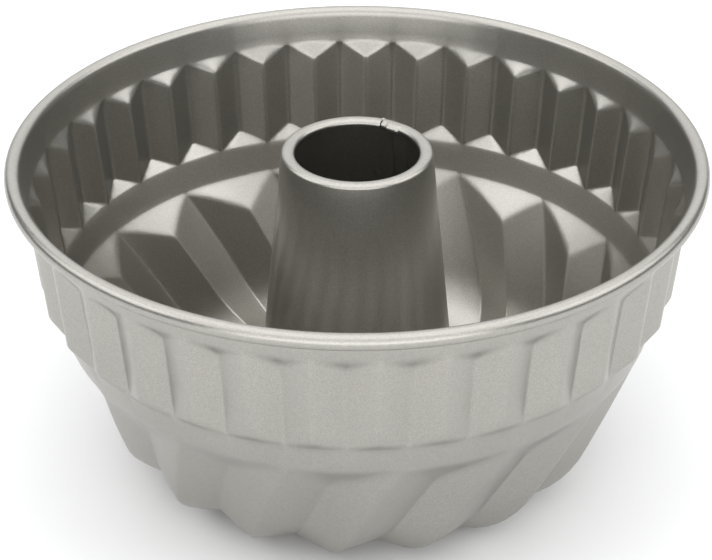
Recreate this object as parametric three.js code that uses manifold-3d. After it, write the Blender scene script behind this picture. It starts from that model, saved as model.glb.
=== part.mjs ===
// Gugelhupf pan: a fluted ring mould of coated sheet steel in two pieces.
// The shell is one deep-drawn sheet with a curled rim, upright flutes, swirling ribs and a floor.
// The chimney tube is one rolled sheet with a lock seam, crimped into the hole in the floor.
// Millimetres, +Z up. The origin lies on the axis, in the plane that the pan stands on.
// Angles run counter-clockwise seen from above and start at the front, which is -Y.

import * as THREE from 'three';
import { mergeVertices } from 'three/addons/utils/BufferGeometryUtils.js';
import Module from 'manifold-3d';

// Overall size and sheet
const RIM_RADIUS = 110;
const HEIGHT = 110;
const SHEET = 0.6;
const FIT_GAP = 0.3;

// Rolled rim: a hollow curl, open on its underside
const RIM_CURL = 5;
const RIM_CURL_START = 168;
const RIM_CURL_END = -125;
const RIM_CURL_STEPS = 7;

// Upright flutes, as the radius and height of the sheet's middle where each form starts and ends
const FLUTES = 34;
const FIRST_FLUTE = -1.8;
const STRIP_FOOT = { r: 103.4, z: 98.4 };
const FLUTE_GROOVE_TOP = { r: 103.1, z: 97.4 };
const FLUTE_RIDGE_TOP = { r: 100, z: 93.6 };
const FLUTE_RIDGE_FOOT = { r: 97.2, z: 65 };
const FLUTE_GROOVE_FOOT = { r: 100.5, z: 67.6 };
const RING_TOP = { r: 97.1, z: 64 };
const RING_FOOT = { r: 94.3, z: 54 };

// Swirling ribs of the bowl, one for every second flute
const RIBS = FLUTES / 2;
const BOWL_SLOPE = 20.4;
const BEND_RADIUS = 29.5;
const RIB_TWIST_PER_MM = -0.275;
const RIB_DEPTH_TOP = 4;
const RIB_DEPTH_BEND = 5.2;
const RIB_FACET_RUN = 12;
const RIB_END_RADIUS = 48.5;
const RIB_END_RUN = 8.5;
const RIB_ROWS = 6;
const CREASE_START = 1.2;

// Flat lands along the ridges and grooves, as half of their width in degrees
const RIDGE_LAND = 0.35;
const FLUTE_GROOVE_LAND = 1.35;
const RIB_GROOVE_LAND = 0.7;

// Floor: the standing ring, and the raised seat round the centre hole
const STANDING_RING_INSIDE = 44.5;
const SEAT_OUTSIDE = 42;
const SEAT_RISE = 3;
const HOLE_RADIUS = 34.6;

// Chimney tube
const TUBE_STEPS = 40;
const TUBE_TOP = 109.7;
const TUBE_TOP_RADIUS = 23.7;
const TUBE_FLARE = 5.63;
const TUBE_CURL_WIDTH = 3.7;
const TUBE_CURL_HEIGHT = 2.2;
const TUBE_CURL_START = 235;
const TUBE_CURL_STEPS = 6;
const FOOT_BEAD_REACH = 2.9;
const FOOT_BEAD_SHOULDER = 2.2;
const FOOT_BEAD_HEIGHT = 3.4;
const FOOT_NECK_RADIUS = 33.9;
const FOOT_FLANGE_RADIUS = 39.5;

// Lock seam on the tube's bore side, and the slit that it leaves in the curl
const SEAM_ANGLE = 145;
const SEAM_WIDTH = 5;
const SEAM_PROUD = 0.9;
const SEAM_BITE = 0.25;
const SEAM_END_CLEAR = 1;
const SLIT_ANGLE = 158;
const SLIT_WIDTH = 0.7;
const SLIT_DEPTH = 2.8;

const COATING = { color: 0x9c9891, roughness: 0.42, metalness: 0.75 };

const wasm = await Module();
wasm.setup();

const rad = THREE.MathUtils.degToRad;
const lerp = THREE.MathUtils.lerp;
const clamp = THREE.MathUtils.clamp;

// A point on the circle of radius r at height z
function around(angle, r, z) {
  return new THREE.Vector3(r * Math.sin(rad(angle)), -r * Math.cos(rad(angle)), z);
}

// Share of a rib's depth at an angle from its ridge: 1 on the ridge land, 0 on the groove land
function ribShareAt(fromRidge) {
  const grooveEdge = 180 / RIBS - RIB_GROOVE_LAND;
  return clamp((grooveEdge - Math.abs(fromRidge)) / (grooveEdge - RIDGE_LAND), 0, 1);
}

// Columns round the pan: each flute has a ridge land and a groove land, and each land two edges
function landCentres() {
  const halfPitch = 180 / FLUTES;
  return Array.from({ length: 2 * FLUTES }, (_, i) => ({
    angle: FIRST_FLUTE + i * halfPitch,
    onRidge: i % 2 === 0,
    inRibGroove: i % 4 === 2,
    fromRib: (((i + 2) % 4) - 2) * halfPitch,
  }));
}

// On the way down the smooth ring, the columns of a rib groove move out to the edges of its land
function landEdges(centres) {
  return centres.flatMap(({ angle, onRidge, inRibGroove, fromRib }) =>
    [-1, 1].map((side) => {
      const land = side * (onRidge ? RIDGE_LAND : FLUTE_GROOVE_LAND);
      const ribLand = inRibGroove ? side * RIB_GROOVE_LAND : land;
      return {
        angle: angle + land,
        onRidge,
        ribAngle: angle + ribLand,
        ribShare: ribShareAt(fromRib + ribLand),
      };
    }),
  );
}

// Triangles between two loops, where either loop may have twice as many points as the other
function bridge(first, firstCount, second, secondCount) {
  const triangles = [];
  const count = Math.min(firstCount, secondCount);
  for (let i = 0; i < count; i += 1) {
    const a = (k) => first + (k % firstCount);
    const b = (k) => second + (k % secondCount);
    if (firstCount === secondCount) {
      triangles.push([a(i), b(i), b(i + 1)], [a(i), b(i + 1), a(i + 1)]);
    } else if (firstCount < secondCount) {
      triangles.push([a(i), b(2 * i), b(2 * i + 1)], [a(i), b(2 * i + 1), b(2 * i + 2)]);
      triangles.push([a(i), b(2 * i + 2), a(i + 1)]);
    } else {
      triangles.push([a(2 * i), b(i), a(2 * i + 1)], [a(2 * i + 1), b(i), b(i + 1)]);
      triangles.push([a(2 * i + 1), b(i + 1), a(2 * i + 2)]);
    }
  }
  return triangles;
}

// A closed sheet of even thickness: loops of points on the sheet's middle, offset both ways along
// its normals. A loop marked level keeps a vertical normal, so that the ring that the pan stands on
// is truly flat.
function pressedSheet(loops) {
  const middle = loops.flatMap((loop) => loop.points);
  const starts = loops.map((_, i) => loops.slice(0, i).reduce((sum, loop) => sum + loop.points.length, 0));
  const skin = loops.slice(1).flatMap((loop, i) =>
    bridge(starts[i], loops[i].points.length, starts[i + 1], loop.points.length),
  );
  const surface = new THREE.BufferGeometry().setFromPoints(middle);
  surface.setIndex(skin.flat());
  surface.computeVertexNormals();
  const { normal } = surface.attributes;
  const normals = middle.map((_, i) => new THREE.Vector3().fromBufferAttribute(normal, i));
  loops.forEach((loop, i) => {
    if (loop.level) {
      loop.points.forEach((_, k) => normals[starts[i] + k].set(0, 0, -1));
    }
  });

  const outside = middle.map((p, i) => p.clone().addScaledVector(normals[i], SHEET / 2));
  const inside = middle.map((p, i) => p.clone().addScaledVector(normals[i], -SHEET / 2));
  const inner = middle.length;
  const triangles = skin.concat(skin.map(([a, b, c]) => [a + inner, c + inner, b + inner]));
  const last = loops.length - 1;
  for (const [start, count, turn] of [
    [starts[0], loops[0].points.length, false],
    [starts[last], loops[last].points.length, true],
  ]) {
    for (let i = 0; i < count; i += 1) {
      const p = start + i;
      const q = start + ((i + 1) % count);
      const [u, v] = turn ? [q, p] : [p, q];
      triangles.push([u, v, v + inner], [u, v + inner, u + inner]);
    }
  }
  const solid = new THREE.BufferGeometry().setFromPoints(outside.concat(inside));
  solid.setIndex(triangles.flat());
  return solid;
}

// Meridian of the bowl, by the distance run along the sheet from the ring: wall, bend, floor
function bowlPoint(run) {
  const slope = rad(BOWL_SLOPE);
  const floor = SHEET / 2;
  const bendTop = floor + BEND_RADIUS * (1 - Math.sin(slope));
  const wallRun = (RING_FOOT.z - bendTop) / Math.cos(slope);
  if (run <= wallRun) {
    const r = RING_FOOT.r - run * Math.sin(slope);
    const z = RING_FOOT.z - run * Math.cos(slope);
    return { r, z, inR: -Math.cos(slope), inZ: Math.sin(slope) };
  }
  const centreR = RING_FOOT.r - wallRun * Math.sin(slope) - BEND_RADIUS * Math.cos(slope);
  const centreZ = floor + BEND_RADIUS;
  const turned = slope + (run - wallRun) / BEND_RADIUS;
  if (turned < Math.PI / 2) {
    const inR = -Math.cos(turned);
    const inZ = Math.sin(turned);
    return { r: centreR - BEND_RADIUS * inR, z: centreZ - BEND_RADIUS * inZ, inR, inZ };
  }
  return { r: centreR - (turned - Math.PI / 2) * BEND_RADIUS, z: floor, inR: 0, inZ: 1 };
}

// The run at which the ribs have faded out, found from a run that surely lies on the flat floor
function ribEndRun() {
  const flatRun = 2 * HEIGHT;
  return flatRun - (RIB_END_RADIUS - bowlPoint(flatRun).r);
}

// A loop of the ribbed bowl: each column lies on the meridian, raised by its share of the rib depth,
// and twists round the pan with the run
function bowlLoop(columns, runOf, depth) {
  const points = columns.map((column) => {
    const run = runOf(column.ribShare);
    const { r, z, inR, inZ } = bowlPoint(run);
    const lift = depth * column.ribShare;
    return around(column.ribAngle + RIB_TWIST_PER_MM * run, r + lift * inR, z + lift * inZ);
  });
  return { points };
}

function panShell() {
  const centres = landCentres();
  const edges = landEdges(centres);
  const circle = (r, z, columns, level = false) => ({
    points: columns.map(({ angle }) => around(angle, r, z)),
    level,
  });
  const fluteLoop = (ridge, groove) => ({
    points: edges.map(({ angle, onRidge }) => {
      const { r, z } = onRidge ? ridge : groove;
      return around(angle, r, z);
    }),
  });

  const curlRadius = (RIM_CURL - SHEET) / 2;
  const curlCentreR = RIM_RADIUS - RIM_CURL / 2;
  const curlCentreZ = HEIGHT - RIM_CURL / 2;
  const rim = Array.from({ length: RIM_CURL_STEPS + 1 }, (_, i) => {
    const turn = rad(lerp(RIM_CURL_END, RIM_CURL_START, i / RIM_CURL_STEPS));
    const r = curlCentreR + curlRadius * Math.cos(turn);
    const z = curlCentreZ + curlRadius * Math.sin(turn);
    return circle(r, z, centres);
  });

  const band = [
    circle(STRIP_FOOT.r, STRIP_FOOT.z, edges),
    fluteLoop(FLUTE_RIDGE_TOP, FLUTE_GROOVE_TOP),
    fluteLoop(FLUTE_RIDGE_FOOT, FLUTE_GROOVE_FOOT),
    circle(RING_TOP.r, RING_TOP.z, edges),
    bowlLoop(edges, () => 0, 0),
  ];

  const endRun = ribEndRun();
  const ribs = Array.from({ length: RIB_ROWS + 2 }, (_, i) => {
    const part = i / (RIB_ROWS + 1);
    const depth = lerp(RIB_DEPTH_TOP, RIB_DEPTH_BEND, part);
    const ridgeRun = lerp(RIB_FACET_RUN, endRun - RIB_END_RUN, part);
    const grooveRun = i === 0 ? CREASE_START : i > RIB_ROWS ? endRun - CREASE_START : ridgeRun;
    return bowlLoop(edges, (share) => lerp(grooveRun, ridgeRun, share), depth);
  });

  const floor = SHEET / 2;
  const ribEnd = bowlLoop(edges, () => endRun, 0);
  const turned = centres.map(({ angle }) => ({ angle: angle + RIB_TWIST_PER_MM * endRun }));
  const base = [
    { ...ribEnd, level: true },
    circle(STANDING_RING_INSIDE, floor, turned, true),
    circle(SEAT_OUTSIDE, floor + SEAT_RISE, turned),
    circle(HOLE_RADIUS, floor + SEAT_RISE, turned),
  ];
  return pressedSheet([...rim, ...band, ...ribs, ...base]);
}

// Join and cut
function toSolid(geometry) {
  const bare = geometry.clone();
  bare.deleteAttribute('normal');
  bare.deleteAttribute('uv');
  const merged = mergeVertices(bare);
  const vertProperties = new Float32Array(merged.attributes.position.array);
  const triVerts = new Uint32Array(merged.index.array);
  return new wasm.Manifold(new wasm.Mesh({ numProp: 3, vertProperties, triVerts }));
}

function toGeometry(solid) {
  const { vertProperties, triVerts } = solid.getMesh();
  const geometry = new THREE.BufferGeometry();
  geometry.setAttribute('position', new THREE.BufferAttribute(new Float32Array(vertProperties), 3));
  geometry.setIndex(new THREE.BufferAttribute(new Uint32Array(triVerts), 1));
  return geometry;
}

// Middle line of the tube's sheet, from the curl's hidden edge over the top, down the wall, round the
// foot bead and through the hole to the flange under the floor
function tubeLine() {
  const curlAcross = (TUBE_CURL_WIDTH - SHEET) / 2;
  const curlUp = (TUBE_CURL_HEIGHT - SHEET) / 2;
  const curlR = TUBE_TOP_RADIUS - TUBE_CURL_WIDTH / 2;
  const curlZ = TUBE_TOP - TUBE_CURL_HEIGHT / 2;
  const curl = Array.from({ length: TUBE_CURL_STEPS + 1 }, (_, i) => {
    const turn = rad(lerp(TUBE_CURL_START, 0, i / TUBE_CURL_STEPS));
    return [curlR + curlAcross * Math.cos(turn), curlZ + curlUp * Math.sin(turn)];
  });

  const seatTop = SEAT_RISE + SHEET;
  const gripTop = seatTop + FIT_GAP + SHEET / 2;
  const gripFoot = SEAT_RISE - FIT_GAP - SHEET / 2;
  const beadTop = gripTop + FOOT_BEAD_HEIGHT;
  const wallFoot = curlR + curlAcross + (curlZ - beadTop) * Math.tan(rad(TUBE_FLARE));
  const shoulder = wallFoot + FOOT_BEAD_SHOULDER;
  const foot = [
    [wallFoot, beadTop],
    [shoulder, lerp(gripTop, beadTop, 2 / 3)],
    [wallFoot + FOOT_BEAD_REACH, lerp(gripTop, beadTop, 1 / 3)],
    [shoulder, gripTop],
    [FOOT_NECK_RADIUS, gripTop],
    [FOOT_NECK_RADIUS, gripFoot],
    [FOOT_FLANGE_RADIUS, gripFoot],
  ];
  return { line: [...curl, ...foot], wallTop: curl.at(-1), wallFoot: foot[0] };
}

// A straight bar along the tube's slanted bore, turned to the seam's angle
function seamBar(wallTop, wallFoot) {
  const thick = SEAM_PROUD + SEAM_BITE;
  const [topR, topZ] = wallTop;
  const [footR, footZ] = wallFoot;
  const slope = Math.atan2(footR - topR, topZ - footZ);
  const length = Math.hypot(footR - topR, topZ - footZ) - 2 * SEAM_END_CLEAR - TUBE_CURL_HEIGHT;
  const bar = new THREE.BoxGeometry(SEAM_WIDTH, thick, length);
  bar.translate(0, (SHEET + thick) / 2 - SEAM_BITE, length / 2 + SEAM_END_CLEAR);
  bar.rotateX(-slope);
  bar.translate(0, -footR, footZ);
  bar.rotateZ(rad(SEAM_ANGLE));
  return bar;
}

function curlSlit() {
  const cut = new THREE.BoxGeometry(SLIT_WIDTH, SLIT_DEPTH, 2 * TUBE_CURL_HEIGHT);
  const innerEdge = TUBE_TOP_RADIUS - TUBE_CURL_WIDTH;
  cut.translate(0, -innerEdge - SLIT_DEPTH / 2 + SHEET, TUBE_TOP);
  cut.rotateZ(rad(SLIT_ANGLE));
  return cut;
}

function chimneyTube() {
  const { line, wallTop, wallFoot } = tubeLine();
  const angles = Array.from({ length: TUBE_STEPS }, (_, i) => (i * 360) / TUBE_STEPS);
  const loops = line.map(([r, z]) => ({ points: angles.map((angle) => around(angle, r, z)) }));
  const seamed = toSolid(pressedSheet(loops)).add(toSolid(seamBar(wallTop, wallFoot)));
  return toGeometry(seamed.subtract(toSolid(curlSlit())));
}

function node(name, geometry) {
  const mesh = new THREE.Mesh(geometry, new THREE.MeshStandardMaterial(COATING));
  mesh.name = name;
  return mesh;
}

const pan = new THREE.Group();
pan.name = 'gugelhupf_pan';
pan.add(node('pan_shell', panShell()));
pan.add(node('chimney_tube', chimneyTube()));

export default pan;
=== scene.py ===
# %% [markdown]
# # A gugelhupf pan, worked out as surfaces
#
# The real pan is two sheets of steel with a non-stick coating. One sheet is drawn into a deep bowl with a
# rolled rim, upright flutes and swirling ribs. The other is rolled into a tapered chimney tube and crimped
# into the hole in the floor. Both sheets are smooth, repeat round an axis and bend along soft creases, so
# each is written here as a formula on a grid instead of being sculpted by hand.
#
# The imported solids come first, because they say how big everything is and where it stands.

# %% Load the frame
from types import SimpleNamespace

import bpy
import numpy as np
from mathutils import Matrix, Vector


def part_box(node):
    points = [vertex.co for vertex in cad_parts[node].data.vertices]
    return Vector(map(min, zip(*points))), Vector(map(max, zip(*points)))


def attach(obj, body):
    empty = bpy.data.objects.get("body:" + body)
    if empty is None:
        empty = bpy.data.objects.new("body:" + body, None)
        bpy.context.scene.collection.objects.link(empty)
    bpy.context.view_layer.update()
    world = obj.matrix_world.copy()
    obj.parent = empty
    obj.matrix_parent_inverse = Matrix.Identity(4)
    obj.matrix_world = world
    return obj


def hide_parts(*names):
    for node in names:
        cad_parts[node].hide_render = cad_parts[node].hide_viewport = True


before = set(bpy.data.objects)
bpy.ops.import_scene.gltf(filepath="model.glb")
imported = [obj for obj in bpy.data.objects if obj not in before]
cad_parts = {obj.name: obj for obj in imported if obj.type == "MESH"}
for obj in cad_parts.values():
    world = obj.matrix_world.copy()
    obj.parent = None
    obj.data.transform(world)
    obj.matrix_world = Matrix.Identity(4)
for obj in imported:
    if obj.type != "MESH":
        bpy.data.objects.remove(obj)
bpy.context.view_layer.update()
MM = 0.001

# %% [markdown]
# ## The pan's own measures
#
# A pressed part is described by the middle of its sheet: a few points of radius and height where one form
# ends and the next starts. The overall radius and height are read from the solid, so that the fine surface
# can never be larger than it. Lengths are in millimetres and become metres only when a mesh is made, and
# angles are written in degrees.


# %% Measures
def point(r, z):
    """A point of the sheet's middle line: its distance from the axis and its height."""
    return SimpleNamespace(r=r, z=z)


shell_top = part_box("pan_shell")[1]
RIM_RADIUS = shell_top.x / MM
HEIGHT = shell_top.z / MM
SHEET = 0.6
FIT_GAP = 0.3

RIM_CURL = 5.0
RIM_CURL_START = 168.0
RIM_CURL_END = -125.0

FLUTES = 34
FIRST_FLUTE = -1.8
STRIP_FOOT = point(103.4, 98.4)
FLUTE_GROOVE_TOP = point(104.0, 97.4)
FLUTE_RIDGE_TOP = point(100.0, 93.6)
FLUTE_RIDGE_FOOT = point(96.8, 65.0)
FLUTE_GROOVE_FOOT = point(101.3, 68.4)
FLUTE_END_SLOPE = 0.12
RING_TOP = point(97.1, 64.0)
RING_FOOT = point(94.3, 54.0)

RIBS = FLUTES // 2
BOWL_SLOPE = np.radians(20.4)
BEND_RADIUS = 29.5
RIB_TWIST_PER_MM = -0.275
RIB_DEPTH_TOP = 4.0
RIB_DEPTH_BEND = 5.2
RIB_FACET_RUN = 12.0
RIB_END_RADIUS = 48.5
RIB_END_RUN = 8.5
CREASE_START = 1.2

STANDING_RING_INSIDE = 44.5
SEAT_OUTSIDE = 42.0
SEAT_RISE = 3.0
HOLE_RADIUS = 34.6
print(f"rim radius {RIM_RADIUS:.2f} mm, height {HEIGHT:.2f} mm, {FLUTES} flutes, {RIBS} ribs")

# %% [markdown]
# ## Soft creases
#
# Where two facets of pressed sheet meet, the crease has a small radius. In a formula, two facets meet as
# the smaller or the larger of two heights, and that meeting is a knife edge. A Bevel modifier could round
# it, but a formula can do it exactly where it is wanted. A rounded minimum follows the smaller value, and
# within a short zone where both are alike it dips below them by a parabola.
#
# The wave of flutes or ribs that goes round the pan is a zigzag. Its ridges are sharper than its grooves,
# because the punch that pressed them had crisp edges and the sheet bridged its hollows. For the same
# reason the creases are softer on the outside, where no punch touched the sheet.


# %% Crease helpers
def soft_min(a, b, zone):
    """The smaller of a and b, less (zone - |a - b|)^2 / (4 zone) where the two differ by less than zone."""
    near = np.maximum(zone - np.abs(a - b), 0)
    return np.minimum(a, b) - near**2 / (4 * zone)


def soft_max(a, b, zone):
    """The larger of a and b, rounded in the same way."""
    return -soft_min(-a, -b, zone)


def ridge_wave(angle, count, ridge_round, groove_round):
    """A zigzag round the pan: nearly 1 on the ridges, nearly 0 in the grooves, straight on the flanks.

    It is the angle to the nearest groove over half a pitch. Both tips are rounded over the angles given.
    """
    half = 180 / count
    to_ridge = np.abs((angle - FIRST_FLUTE + half) % (2 * half) - half)
    to_groove = half - to_ridge
    blunted = soft_max(to_ridge, -to_ridge, ridge_round) - to_ridge
    return (soft_max(to_groove, -to_groove, groove_round) - blunted) / half


def line_radius(a, b, z):
    """The radius at height z of the straight line through the points a and b."""
    return a.r + (b.r - a.r) * (z - a.z) / (b.z - a.z)


def mix(a, b, share):
    """The value that lies a share of the way from a to b."""
    return a + (b - a) * share


def closer_at_ends(count):
    """Shares from 0 to 1, without 1, that lie closer together at both ends: (1 - cos(pi i / n)) / 2."""
    return 0.5 - 0.5 * np.cos(np.pi * np.arange(count) / count)


FLUTE_BASE_CREASE = 0.4
FLUTE_SIDE_CREASE = 0.5
FLUTE_END_CREASE = 0.5
RIB_BASE_CREASE = 0.4
RIB_SIDE_CREASE = 0.55
OUTSIDE_SOFTNESS = 2.3
print("where both values are 0, a rounded minimum is", soft_min(0.0, 0.0, FLUTE_BASE_CREASE))

# %% [markdown]
# ## The grid of the shell
#
# Columns of points run down the sheet, and rows run round it. A column lies on every ridge and groove,
# and more stand close by, where the tips are round. A flank is flat and needs only one in its middle. Rows
# follow the creases in the same way: between two creases they crowd towards both. A finer even grid would
# also work, but it would need many times the faces to hold the same creases.

# %% Columns
FLUTE_RIDGE_ROUND = 0.6
FLUTE_GROOVE_ROUND = 1.5
RIB_RIDGE_ROUND = 0.7
RIB_GROOVE_ROUND = 1.4
BESIDE_RIDGE = np.array([0.06, 0.14, 0.5, 0.85, 0.93])
half_pitch = 180 / FLUTES
column_shares = np.concatenate([-BESIDE_RIDGE[::-1], [0.0], BESIDE_RIDGE, [1.0]])
ridge_angles = FIRST_FLUTE + 2 * half_pitch * np.arange(FLUTES)
column_angle = np.add.outer(ridge_angles, half_pitch * column_shares).ravel()
flute_share = ridge_wave(column_angle, FLUTES, FLUTE_RIDGE_ROUND, FLUTE_GROOVE_ROUND)
rib_share = ridge_wave(column_angle, RIBS, RIB_RIDGE_ROUND, RIB_GROOVE_ROUND)
even = np.ones_like(column_angle)
print(len(column_angle), "columns")


# %% Rows between creases
def rows_between(creases, counts):
    """Rows from the first crease to the last. Each crease is one value for every column, and counts says
    how many rows start in each gap."""
    rows = [
        mix(upper, lower, share)
        for upper, lower, count in zip(creases[:-1], creases[1:], counts)
        for share in closer_at_ends(count)
    ]
    return np.array(rows)


print("four rows in a gap start at shares", closer_at_ends(4).round(2))

# %% [markdown]
# ## Rim, strip and flutes
#
# The rim is the end of the sheet, rolled outwards into a hollow curl. Below a smooth strip come the upright
# flutes. Seen as a radius that changes with height, a flute is a zigzag between a ridge line and a groove
# line. At the top it is cut by the slope that leads in from the strip, which gives the bright triangles,
# and at the foot by the slope that leads out to the smooth ring. Each cut is one rounded minimum or
# maximum. One flute could also be modelled by hand and repeated with an Array modifier, but its ends would
# then have to be fitted to the strip and the ring.

# %% Rim curl
curl_radius = (RIM_CURL - SHEET) / 2
curl_centre = point(RIM_RADIUS - RIM_CURL / 2, HEIGHT - RIM_CURL / 2)
RIM_ROWS = 20
curl_turn = np.radians(np.linspace(RIM_CURL_END, RIM_CURL_START, RIM_ROWS))[:, None]
rim_r = (curl_centre.r + curl_radius * np.cos(curl_turn)) * even
rim_z = (curl_centre.z + curl_radius * np.sin(curl_turn)) * even
STRIP_TOP = point(rim_r[-1, 0], rim_z[-1, 0])
print(f"the curl meets the strip at radius {STRIP_TOP.r:.1f} mm, height {STRIP_TOP.z:.1f} mm")


# %% Flutes
def band_radius(z, softness):
    """The flank lies between the groove line and the ridge line by the zigzag's share.

    The band is the flank, not inside the upper slope and not outside the lower slope. The grooves reach a
    little outside the strip and the ridges a little inside the ring, where they end on gentle slopes.
    Softness widens the creases.
    """
    groove = line_radius(FLUTE_GROOVE_TOP, FLUTE_GROOVE_FOOT, z)
    ridge = line_radius(FLUTE_RIDGE_TOP, FLUTE_RIDGE_FOOT, z)
    flank = mix(groove, ridge, flute_share)
    lead_in = line_radius(STRIP_FOOT, FLUTE_RIDGE_TOP, z)
    upper = soft_min(lead_in, line_radius(STRIP_TOP, STRIP_FOOT, z), softness * FLUTE_BASE_CREASE)
    lead_out = line_radius(FLUTE_GROOVE_FOOT, RING_TOP, z)
    lower = soft_max(lead_out, line_radius(RING_TOP, RING_FOOT, z), softness * FLUTE_BASE_CREASE)
    groove_end = STRIP_FOOT.r + FLUTE_END_SLOPE * (STRIP_FOOT.z - z)
    outermost = np.maximum(line_radius(STRIP_TOP, STRIP_FOOT, z), groove_end)
    ridge_end = RING_TOP.r - FLUTE_END_SLOPE * (z - RING_TOP.z)
    innermost = np.minimum(line_radius(RING_TOP, RING_FOOT, z), ridge_end)
    flank = soft_max(soft_min(flank, outermost, FLUTE_END_CREASE), innermost, FLUTE_END_CREASE)
    side = softness * FLUTE_SIDE_CREASE
    return soft_min(soft_max(flank, upper, side), lower, side)


ring_middle = (RING_TOP.z + RING_FOOT.z) / 2
band_creases = [
    STRIP_TOP.z * even,
    STRIP_FOOT.z * even,
    mix(FLUTE_GROOVE_TOP.z, FLUTE_RIDGE_TOP.z, flute_share),
    mix(FLUTE_GROOVE_FOOT.z, FLUTE_RIDGE_FOOT.z, flute_share),
    RING_TOP.z * even,
    ring_middle * even,
]
BAND_ROWS = [5, 8, 9, 8, 4]
band_z = rows_between(band_creases, BAND_ROWS)[1:]
print("flute depth", np.round(np.ptp(band_radius(band_z, 1), axis=1).max(), 2), "mm")

# %% [markdown]
# ## Ring, swirling ribs and floor
#
# Below the ring the wall leans in, bends round and becomes the floor. Its profile is measured by the run
# along the sheet, and the ribs are lifted from it along its own inward normal, so that they keep their
# depth round the bend. Every column also turns a little for each millimetre of run, which makes the swirl.
# A rib starts with a sloping triangle under the ring and fades out on the floor. The floor ends in a flat
# ring that the pan stands on and a raised seat round the hole for the tube.

# %% Bowl profile
floor_z = SHEET / 2
bend_top = floor_z + BEND_RADIUS * (1 - np.sin(BOWL_SLOPE))
wall_run = (RING_FOOT.z - bend_top) / np.cos(BOWL_SLOPE)
bend_end = wall_run + BEND_RADIUS * (np.pi / 2 - BOWL_SLOPE)
bend_r = RING_FOOT.r - wall_run * np.sin(BOWL_SLOPE) - BEND_RADIUS * np.cos(BOWL_SLOPE)
end_run = bend_end + bend_r - RIB_END_RADIUS
ring_slope = np.arctan2(RING_TOP.r - RING_FOOT.r, RING_TOP.z - RING_FOOT.z)


def bowl_profile(run):
    """The middle line at a run: the sheet leans like the ring before run 0 and like the wall down to the
    bend, where the lean grows with the run to a right angle on the floor. Radius and height are the sums of
    the straight, bent and flat stretches."""
    turned = np.clip((run - wall_run) / BEND_RADIUS, 0, np.pi / 2 - BOWL_SLOPE)
    bent = BOWL_SLOPE + turned
    lean = np.where(run < 0, ring_slope, bent)
    straight = np.minimum(run, wall_run)
    flat = np.maximum(run - bend_end, 0)
    slope = np.where(run < 0, ring_slope, BOWL_SLOPE)
    r = RING_FOOT.r - straight * np.sin(slope) - flat
    r = r - BEND_RADIUS * (np.cos(BOWL_SLOPE) - np.cos(bent))
    z = RING_FOOT.z - straight * np.cos(slope) - BEND_RADIUS * (np.sin(bent) - np.sin(BOWL_SLOPE))
    return r, z, lean


print(f"wall {wall_run:.1f} mm, bend ends at {bend_end:.1f} mm, ribs end at {end_run:.1f} mm of run")


# %% Ribs
def rib_lift(run, softness):
    """The lift is the zigzag times the depth, not above the slope of the starting triangle nor above the
    slope where the rib fades out, and never below the sheet. Softness widens the creases."""
    part = (run - RIB_FACET_RUN) / (end_run - RIB_END_RUN - RIB_FACET_RUN)
    flank = mix(RIB_DEPTH_TOP, RIB_DEPTH_BEND, part) * rib_share
    base = softness * RIB_BASE_CREASE
    start = soft_max(RIB_DEPTH_TOP * run / RIB_FACET_RUN, 0 * run, base)
    fade = soft_max(RIB_DEPTH_BEND * (end_run - run) / RIB_END_RUN, 0 * run, base)
    side = softness * RIB_SIDE_CREASE
    return np.maximum(soft_min(soft_min(flank, start, side), fade, side), 0)


ring_run = -(ring_middle - RING_FOOT.z) / np.cos(ring_slope)
bowl_creases = [
    ring_run * even,
    0 * even,
    mix(CREASE_START, RIB_FACET_RUN, rib_share),
    end_run - mix(CREASE_START, RIB_END_RUN, rib_share),
    end_run * even,
]
BOWL_ROWS = [4, 9, 28, 7]
bowl_run = rows_between(bowl_creases, BOWL_ROWS)
profile_r, profile_z, lean = bowl_profile(bowl_run)
bowl_angle = column_angle + RIB_TWIST_PER_MM * np.maximum(bowl_run, 0)
print("rib lift up to", np.round(rib_lift(bowl_run, 1).max(), 2), "mm")

# %% Standing ring and seat
SEAT_CREASE = 0.9
SEAT_CREASE_REACH = 1.0
STANDING_ROWS = 4
CLIMB_ROWS = 10
SEAT_ROWS = 3
climb_foot = STANDING_RING_INSIDE + SEAT_CREASE_REACH
climb_top = SEAT_OUTSIDE - SEAT_CREASE_REACH
base_points = np.concatenate([
    np.linspace(RIB_END_RADIUS, climb_foot, STANDING_ROWS)[:-1],
    np.linspace(climb_foot, climb_top, CLIMB_ROWS)[:-1],
    np.linspace(climb_top, HOLE_RADIUS, SEAT_ROWS),
])[:, None]
climb = SEAT_RISE * (STANDING_RING_INSIDE - base_points) / (STANDING_RING_INSIDE - SEAT_OUTSIDE)
raised = soft_max(soft_min(climb, SEAT_RISE + 0 * climb, SEAT_CREASE), 0 * climb, SEAT_CREASE)
base_r = base_points * even
base_z = (floor_z + raised) * even
base_angle = column_angle + RIB_TWIST_PER_MM * end_run * np.ones_like(base_points)
print("the pan stands on a ring of radius", STANDING_RING_INSIDE, "to", RIB_END_RADIUS, "mm")

# %% [markdown]
# ## From the middle of a sheet to a closed solid
#
# A sheet has two faces. The middle surface is moved half a thickness both ways along its normal, which
# comes from the cross product of the steps along the rows and the columns. The two open edges, at the
# hidden end of the curl and at the hole, are closed with a narrow strip. A Solidify modifier would do
# nearly the same, but here the outer face has softer creases than the inner one.

# %% Sheet builder
SHARP_EDGE = np.radians(50)


def ring_points(angle, r, z):
    """x = r sin(angle), y = -r cos(angle), so that angle 0 faces the viewer."""
    turn = np.radians(angle)
    return np.stack([r * np.sin(turn), -r * np.cos(turn), z], axis=-1)


def sheet_normals(middle):
    """The cross product of the step down a column and the step along a row, at length 1."""
    along = np.roll(middle, -1, axis=1) - np.roll(middle, 1, axis=1)
    down = np.gradient(middle, axis=0)
    normal = np.cross(down, along)
    return normal / np.linalg.norm(normal, axis=-1, keepdims=True)


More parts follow.
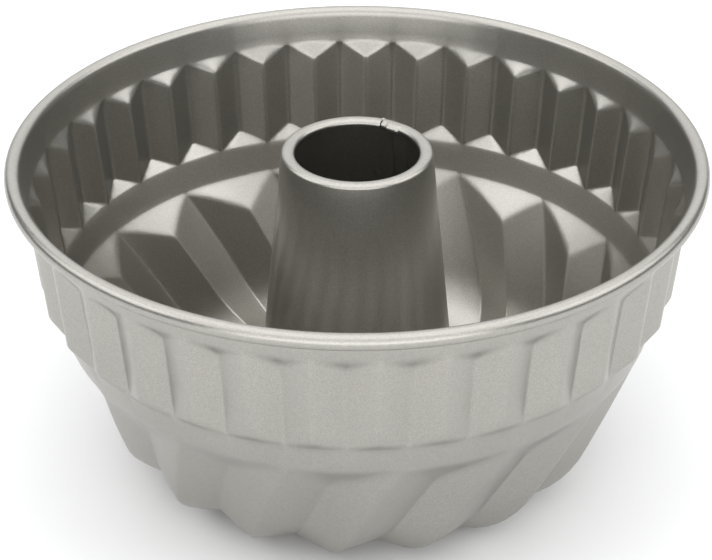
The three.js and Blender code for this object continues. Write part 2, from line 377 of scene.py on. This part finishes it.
def quads_between(first, second):
    """Four-sided faces between two closed rows of point numbers."""
    return np.stack([first, second, np.roll(second, -1, axis=-1), np.roll(first, -1, axis=-1)], axis=-1)


def sheet_mesh(name, middle, softer_middle, extra_inside=0.0):
    """Two faces at half a thickness from the middle, and a strip at both ends. The outer face is made from
    the softer middle, and the inner one stands off by the extra thickness."""
    rows, columns = middle.shape[:2]
    outside = softer_middle + sheet_normals(softer_middle) * SHEET / 2
    inside = middle - sheet_normals(middle) * (SHEET / 2 + extra_inside)
    vertices = np.concatenate([outside.reshape(-1, 3), inside.reshape(-1, 3)]) * MM
    numbers = np.arange(rows * columns).reshape(rows, columns)
    inner = numbers + rows * columns
    faces = np.concatenate([
        quads_between(numbers[:-1], numbers[1:]).reshape(-1, 4),
        quads_between(inner[1:], inner[:-1]).reshape(-1, 4),
        quads_between(inner[0], numbers[0]),
        quads_between(numbers[-1], inner[-1]),
    ])
    mesh = bpy.data.meshes.new(name)
    mesh.vertices.add(len(vertices))
    mesh.vertices.foreach_set("co", vertices.astype(np.float32).ravel())
    mesh.loops.add(faces.size)
    mesh.loops.foreach_set("vertex_index", faces.astype(np.int32).ravel())
    mesh.polygons.add(len(faces))
    mesh.polygons.foreach_set("loop_start", np.arange(0, faces.size, 4, dtype=np.int32))
    mesh.polygons.foreach_set("use_smooth", np.ones(len(faces), dtype=bool))
    mesh.update(calc_edges=True)
    mesh.validate()
    mesh.set_sharp_from_angle(angle=SHARP_EDGE)
    piece = bpy.data.objects.new(name, mesh)
    bpy.context.scene.collection.objects.link(piece)
    print(name, "has", 2 * len(faces), "triangles")
    return piece


print("the sheet is", SHEET, "mm thick")

# %% Shell
round_angle = column_angle * np.ones((RIM_ROWS + len(band_z), 1))
shell_angle = np.concatenate([round_angle, bowl_angle, base_angle])


def shell_middle(softness):
    """Rim, band, bowl and base one below the other, with the ribs lifted along the bowl's inward normal."""
    lift = rib_lift(bowl_run, softness)
    r = np.concatenate([rim_r, band_radius(band_z, softness), profile_r - lift * np.cos(lean), base_r])
    z = np.concatenate([rim_z, band_z, profile_z + lift * np.sin(lean), base_z])
    return ring_points(shell_angle, r, z)


pan_shell = sheet_mesh("fluted_shell", shell_middle(1), shell_middle(OUTSIDE_SOFTNESS))

# %% [markdown]
# ## The chimney tube
#
# The tube is one more sheet. Its top edge is rolled inwards to an oval curl, its wall widens towards the
# foot, and the foot is beaded above the floor and spread below it, so that it grips the edge of the hole.
# Its profile is one line of radius and height that is carried round the axis. The sheet's two edges are
# hooked together in a lock seam, which shows as a band down the bore, as a wider place in the curl, and as
# a slit where the curl's ends don't quite meet. A Screw modifier could turn the profile, but on a grid the
# seam and the slit are only small shifts of some columns.

# %% Tube measures
TUBE_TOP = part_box("chimney_tube")[1].z / MM
TUBE_TOP_RADIUS = 24.0
TUBE_FLARE = np.radians(5.63)
TUBE_CURL_WIDTH = 4.4
TUBE_CURL_HEIGHT = 3.0
TUBE_CURL_START = 235.0
FOOT_BEAD_REACH = 2.9
FOOT_BEAD_SHOULDER = 2.2
FOOT_BEAD_HEIGHT = 3.4
FOOT_NECK_RADIUS = 33.9
FOOT_FLANGE_RADIUS = 39.5
FOOT_ROUNDING = 0.5

curl_across = (TUBE_CURL_WIDTH - SHEET) / 2
curl_up = (TUBE_CURL_HEIGHT - SHEET) / 2
tube_curl = point(TUBE_TOP_RADIUS - TUBE_CURL_WIDTH / 2, TUBE_TOP - TUBE_CURL_HEIGHT / 2)
grip_top = SEAT_RISE + SHEET + FIT_GAP + SHEET / 2
grip_foot = SEAT_RISE - FIT_GAP - SHEET / 2
bead_top = grip_top + FOOT_BEAD_HEIGHT
wall_top = np.array([tube_curl.r + curl_across, tube_curl.z])
wall_foot = np.array([wall_top[0] + (wall_top[1] - bead_top) * np.tan(TUBE_FLARE), bead_top])
print("tube wall from", wall_top.round(1), "to", wall_foot.round(1))


# %% Rounded line
def rounded_line(corners, radius, steps):
    """Straight runs through the corners, with each inner corner replaced by an arc that touches both runs.

    The arc's centre lies on the bisector at radius / sin(half the angle) from the corner.
    """
    pieces = [corners[:1]]
    for before, corner, after in zip(corners[:-2], corners[1:-1], corners[2:]):
        back = (before - corner) / np.linalg.norm(before - corner)
        ahead = (after - corner) / np.linalg.norm(after - corner)
        half = np.arccos(np.clip(back @ ahead, -1, 1)) / 2
        bisector = (back + ahead) / np.linalg.norm(back + ahead)
        centre = corner + bisector * radius / np.sin(half)
        touch = radius / np.tan(half)
        start = corner + back * touch - centre
        end = corner + ahead * touch - centre
        sweep = np.pi - 2 * half
        share = np.linspace(0, 1, steps)[:, None]
        arc = (np.sin((1 - share) * sweep) * start + np.sin(share * sweep) * end) / np.sin(sweep)
        pieces.append(centre + arc)
    pieces.append(corners[-1:])
    return np.concatenate(pieces)


WALL_LEFT_TO_FOOT = 0.02
FOOT_ARC_STEPS = 5
CURL_ROWS = 22
WALL_ROWS = 24
shoulder = wall_foot[0] + FOOT_BEAD_SHOULDER
foot_corners = np.array([
    mix(wall_foot, wall_top, WALL_LEFT_TO_FOOT),
    wall_foot,
    [shoulder, mix(grip_top, bead_top, 2 / 3)],
    [wall_foot[0] + FOOT_BEAD_REACH, mix(grip_top, bead_top, 1 / 3)],
    [shoulder, grip_top],
    [FOOT_NECK_RADIUS, grip_top],
    [FOOT_NECK_RADIUS, grip_foot],
    [FOOT_FLANGE_RADIUS, grip_foot],
])
foot_line = rounded_line(foot_corners, FOOT_ROUNDING, FOOT_ARC_STEPS)
tube_turn = np.radians(np.linspace(TUBE_CURL_START, 0, CURL_ROWS))
curl_line = np.stack(
    [tube_curl.r + curl_across * np.cos(tube_turn), tube_curl.z + curl_up * np.sin(tube_turn)], axis=-1
)
wall_share = np.linspace(0, 1, WALL_ROWS + 1)[1:-1, None]
wall_line = mix(wall_top, foot_corners[0], wall_share)
tube_line = np.concatenate([curl_line, wall_line, foot_line])
print(len(tube_line), "rows in the tube")

# %% Lock seam and slit
SEAM_ANGLE = 145.0
SEAM_WIDTH = 5.0
SEAM_PROUD = 0.9
SEAM_EDGE = 0.25
SLIT_ANGLE = 158.0
SLIT_WIDTH = 0.9
SLIT_DEPTH = 2.4
SLIT_EDGE = 0.12
SLIT_COLUMNS = 9
TUBE_STEPS = 180
mm_per_degree = np.radians(TUBE_TOP_RADIUS)


def band_across(angle, centre, width, edge):
    """1 within half the width of the centre, falling to 0 over the edge, measured along the tube's top."""
    off = np.abs(angle - centre) * mm_per_degree
    return np.clip((width / 2 + edge - off) / edge, 0, 1)


seam_offsets = np.array([-1, -0.5, 0.5, 1]) * (SEAM_WIDTH / 2 + SEAM_EDGE / 2)
slit_offsets = np.linspace(-1, 1, SLIT_COLUMNS) * (SLIT_WIDTH / 2 + SLIT_EDGE)
tube_angle = np.unique(np.concatenate([
    np.arange(TUBE_STEPS) * 360 / TUBE_STEPS,
    SEAM_ANGLE + seam_offsets / mm_per_degree,
    SLIT_ANGLE + slit_offsets / mm_per_degree,
]).round(4))
seam = band_across(tube_angle, SEAM_ANGLE, SEAM_WIDTH, SEAM_EDGE)
slit = band_across(tube_angle, SLIT_ANGLE, SLIT_WIDTH, SLIT_EDGE)
print(len(tube_angle), "columns in the tube")

# %% Tube
SEAM_CURL_REACH = 0.8
tube_r = tube_line[:, :1] * np.ones_like(tube_angle)
tube_z = tube_line[:, 1:] * np.ones_like(tube_angle)
in_curl = np.clip((wall_top[0] - tube_line[:, :1]) / (2 * curl_across), 0, 1)
in_curl[CURL_ROWS:] = 0
tube_r = tube_r - SEAM_CURL_REACH * in_curl * seam
tube_r = tube_r + SLIT_DEPTH * in_curl * slit
# The seam runs down the wall from just below the curl and stops short of the foot.
on_wall = np.zeros((len(tube_line), 1))
on_wall[CURL_ROWS + 1 : CURL_ROWS + WALL_ROWS - 2] = 1
seam_thickness = (SEAM_PROUD * on_wall * seam)[..., None]
tube_middle = ring_points(tube_angle, tube_r, tube_z)
chimney_tube = sheet_mesh("rolled_tube", tube_middle, tube_middle, seam_thickness)

# %% [markdown]
# ## The coating
#
# The coating is a satin metallic lacquer, a warm grey with fine flakes that sparkle. Metal paint takes most
# of its look from what it reflects, so the shader is mostly metallic with a broad gloss. One plain colour
# would look like plastic, so two scales of noise on Object coordinates are laid over it: a fine grain
# shifts the colour, the roughness and the surface a little, and a slow cloud changes the tone over some
# centimetres.

# %% Coating material
METAL_SHARE = 0.95
GRAIN_SIZE = 0.45
GRAIN_DETAIL = 2.0
GRAIN_DARK_END = 0.3
GRAIN_LIGHT_END = 0.7
COATING_DARK = (0.32, 0.31, 0.284)
COATING_LIGHT = (0.4, 0.388, 0.356)
CLOUD_SIZE = 30.0
CLOUD_CHANGE = 0.05
GLOSS_ROUGHNESS = 0.32
GLOSS_CHANGE = 0.05
BUMP_STRENGTH = 0.25
BUMP_HEIGHT = 0.05


def coating_material():
    """A metallic shader whose colour is a grain between two tones times a slow cloud, with the same grain
    in its roughness and as a bump."""
    material = bpy.data.materials.new("nonstick_coating")
    material.use_nodes = True
    nodes = material.node_tree.nodes
    links = material.node_tree.links
    shader = nodes["Principled BSDF"]
    shader.inputs["Metallic"].default_value = METAL_SHARE

    place = nodes.new("ShaderNodeTexCoord")
    grain = nodes.new("ShaderNodeTexNoise")
    grain.inputs["Scale"].default_value = 1 / (GRAIN_SIZE * MM)
    grain.inputs["Detail"].default_value = GRAIN_DETAIL
    cloud = nodes.new("ShaderNodeTexNoise")
    cloud.inputs["Scale"].default_value = 1 / (CLOUD_SIZE * MM)
    for texture in (grain, cloud):
        links.new(place.outputs["Object"], texture.inputs["Vector"])

    tone = nodes.new("ShaderNodeValToRGB")
    tone.color_ramp.elements[0].position = GRAIN_DARK_END
    tone.color_ramp.elements[0].color = (*COATING_DARK, 1)
    tone.color_ramp.elements[1].position = GRAIN_LIGHT_END
    tone.color_ramp.elements[1].color = (*COATING_LIGHT, 1)
    links.new(grain.outputs["Fac"], tone.inputs["Fac"])
    shade = nodes.new("ShaderNodeMapRange")
    shade.inputs["To Min"].default_value = 1 - CLOUD_CHANGE
    shade.inputs["To Max"].default_value = 1 + CLOUD_CHANGE
    links.new(cloud.outputs["Fac"], shade.inputs["Value"])
    colour = nodes.new("ShaderNodeVectorMath")
    colour.operation = "SCALE"
    links.new(tone.outputs["Color"], colour.inputs["Vector"])
    links.new(shade.outputs["Result"], colour.inputs["Scale"])
    links.new(colour.outputs["Vector"], shader.inputs["Base Color"])

    gloss = nodes.new("ShaderNodeMapRange")
    gloss.inputs["To Min"].default_value = GLOSS_ROUGHNESS - GLOSS_CHANGE
    gloss.inputs["To Max"].default_value = GLOSS_ROUGHNESS + GLOSS_CHANGE
    links.new(grain.outputs["Fac"], gloss.inputs["Value"])
    links.new(gloss.outputs["Result"], shader.inputs["Roughness"])
    bump = nodes.new("ShaderNodeBump")
    bump.inputs["Strength"].default_value = BUMP_STRENGTH
    bump.inputs["Distance"].default_value = BUMP_HEIGHT * MM
    links.new(grain.outputs["Fac"], bump.inputs["Height"])
    links.new(bump.outputs["Normal"], shader.inputs["Normal"])
    return material


coating = coating_material()
for piece, node in ((pan_shell, "pan_shell"), (chimney_tube, "chimney_tube")):
    piece.data.materials.append(coating)
    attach(piece, "root")
    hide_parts(node)
print("coating", coating.name, "on", pan_shell.name, "and", chimney_tube.name)

# %% [markdown]
# ## Floor, light and camera
#
# The pan stands on a plain white floor between large soft lamps, about three metres away: a ceiling with a
# brighter middle, two wide lamps in front, three behind and one on either side. One big lamp would light
# the pan too, but metal shows what it reflects, and with separate lamps each band of facets gets its own
# tone. Together they make the open floor white and leave a soft shadow under the bowl. The lower inside is
# dark because it reflects itself, so nothing has to be painted dark. The camera stands where the
# photograph's perspective puts it.

# %% Floor
FLOOR_REACH = 4.0
FLOOR_WHITE = (0.78, 0.78, 0.78)
FLOOR_ROUGHNESS = 0.9


def white_floor():
    """A square of plain white material, with its corners at plus and minus the reach."""
    mesh = bpy.data.meshes.new("studio_floor")
    corners = np.array([[-1, -1, 0], [1, -1, 0], [1, 1, 0], [-1, 1, 0]]) * FLOOR_REACH
    mesh.from_pydata(corners.tolist(), [], [(0, 1, 2, 3)])
    floor = bpy.data.objects.new("studio_floor", mesh)
    bpy.context.scene.collection.objects.link(floor)
    material = bpy.data.materials.new("white_floor")
    material.use_nodes = True
    shader = material.node_tree.nodes["Principled BSDF"]
    shader.inputs["Base Color"].default_value = (*FLOOR_WHITE, 1)
    shader.inputs["Roughness"].default_value = FLOOR_ROUGHNESS
    floor.data.materials.append(material)
    return floor


floor = white_floor()
print("floor", floor.name)

# %% Room and lamps
ROOM_LIGHT = 0.08
LAMP_COLOUR = (0.985, 0.99, 1.0)


def dim_room():
    """A world of even light that keeps the deepest shadows from going black."""
    world = bpy.data.worlds.new("dim_room")
    world.use_nodes = True
    background = world.node_tree.nodes["Background"]
    background.inputs["Color"].default_value = (1, 1, 1, 1)
    background.inputs["Strength"].default_value = ROOM_LIGHT
    bpy.context.scene.world = world


def soft_lamp(name, place, size, brightness):
    """A rectangular lamp that faces the pan. Its power is brightness times pi times its area."""
    lamp = bpy.data.lights.new(name, "AREA")
    lamp.shape = "RECTANGLE"
    lamp.size, lamp.size_y = size
    lamp.energy = brightness * np.pi * size[0] * size[1]
    lamp.color = LAMP_COLOUR
    holder = bpy.data.objects.new(name, lamp)
    holder.location = place
    aim = holder.location * -1
    holder.rotation_euler = aim.to_track_quat("-Z", "Y").to_euler()
    bpy.context.scene.collection.objects.link(holder)
    print(name, "at", place, "m,", round(lamp.energy, 1), "W")


dim_room()
soft_lamp("ceiling_lamp", place=(0, -0.6, 2.8), size=(6.0, 6.0), brightness=1.5)
soft_lamp("top_lamp", place=(0, 0, 2.7), size=(2.8, 2.8), brightness=0.7)
soft_lamp("front_lamp_low", place=(0, -2.97, 0.42), size=(5.2, 0.88), brightness=3.0)
soft_lamp("front_lamp_high", place=(0, -2.72, 1.26), size=(4.8, 0.88), brightness=2.0)
soft_lamp("back_lamp_low", place=(0, 2.9, 0.78), size=(5.2, 0.88), brightness=1.1)
soft_lamp("back_lamp_middle", place=(0, 2.54, 1.6), size=(4.8, 0.88), brightness=1.5)
soft_lamp("back_lamp_high", place=(0, 1.92, 2.3), size=(4.0, 0.88), brightness=1.6)
for name, side in (("left_lamp", -1), ("right_lamp", 1)):
    soft_lamp(name, place=(side * 2.45, 0, 1.72), size=(2.8, 1.5), brightness=2.2)

# %% Camera
PHOTO_WIDTH = 712
FOCAL_PIXELS = 2189.1
AXIS_PIXEL = 357.06
CAMERA_PLACE = (0, -0.6071, 0.4325)
CAMERA_PITCH_DOWN = 31.42
SENSOR_WIDTH = 36
camera = bpy.data.cameras.new("photo_camera")
camera.sensor_fit = "HORIZONTAL"
camera.sensor_width = SENSOR_WIDTH
camera.lens = FOCAL_PIXELS * SENSOR_WIDTH / PHOTO_WIDTH
camera.shift_x = (PHOTO_WIDTH / 2 - AXIS_PIXEL) / PHOTO_WIDTH
viewer = bpy.data.objects.new("photo_camera", camera)
viewer.location = CAMERA_PLACE
viewer.rotation_euler = (np.radians(90 - CAMERA_PITCH_DOWN), 0, 0)
bpy.context.scene.collection.objects.link(viewer)
bpy.context.scene.camera = viewer
bpy.context.scene.view_settings.view_transform = "Standard"
print(f"camera lens {camera.lens:.1f} mm")

# %% [markdown]
# ## Finish
#
# The last cell brings the view layer up to date.

# %% Finish
bpy.context.view_layer.update()
